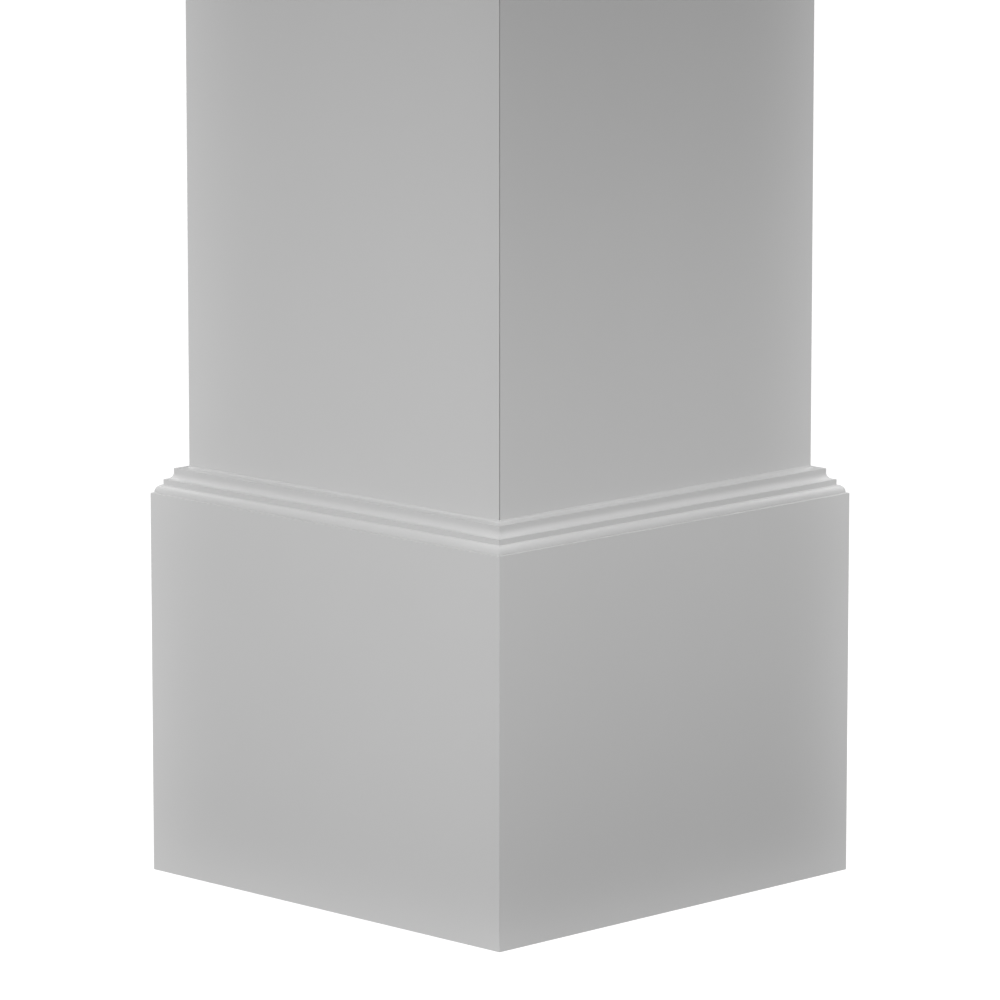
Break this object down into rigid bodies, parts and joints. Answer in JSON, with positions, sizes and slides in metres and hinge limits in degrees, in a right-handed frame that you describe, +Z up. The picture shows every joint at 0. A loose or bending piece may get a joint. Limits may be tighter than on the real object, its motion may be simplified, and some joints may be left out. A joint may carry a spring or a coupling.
{
  "type": "column wrap",
  "caption": "Square hollow wrap for a porch post: flat shaft boards with mitred corners, on a thicker plinth capped by a stepped cove and ovolo moulding.",
  "frame": {"origin": "centre of the wrap's underside, in the plane of the floor", "axes": "+Z up along the shaft, -Y out of the front side and +X out of the right side"},
  "size_m": [0.343, 0.343, 1],
  "materials": {
    "pvc_board": "smooth matt skin of cellular PVC trim board, light neutral grey",
    "pvc_moulding": "smooth matt skin of extruded cellular PVC moulding, light neutral grey"
  },
  "bodies": {
    "root": {"shaft_board_front": "pvc_board", "shaft_board_right": "pvc_board", "shaft_board_back": "pvc_board", "shaft_board_left": "pvc_board", "plinth_board_front": "pvc_board", "plinth_board_right": "pvc_board", "plinth_board_back": "pvc_board", "plinth_board_left": "pvc_board", "cap_moulding_front": "pvc_moulding", "cap_moulding_right": "pvc_moulding", "cap_moulding_back": "pvc_moulding", "cap_moulding_left": "pvc_moulding"}
  },
  "joints": []
}
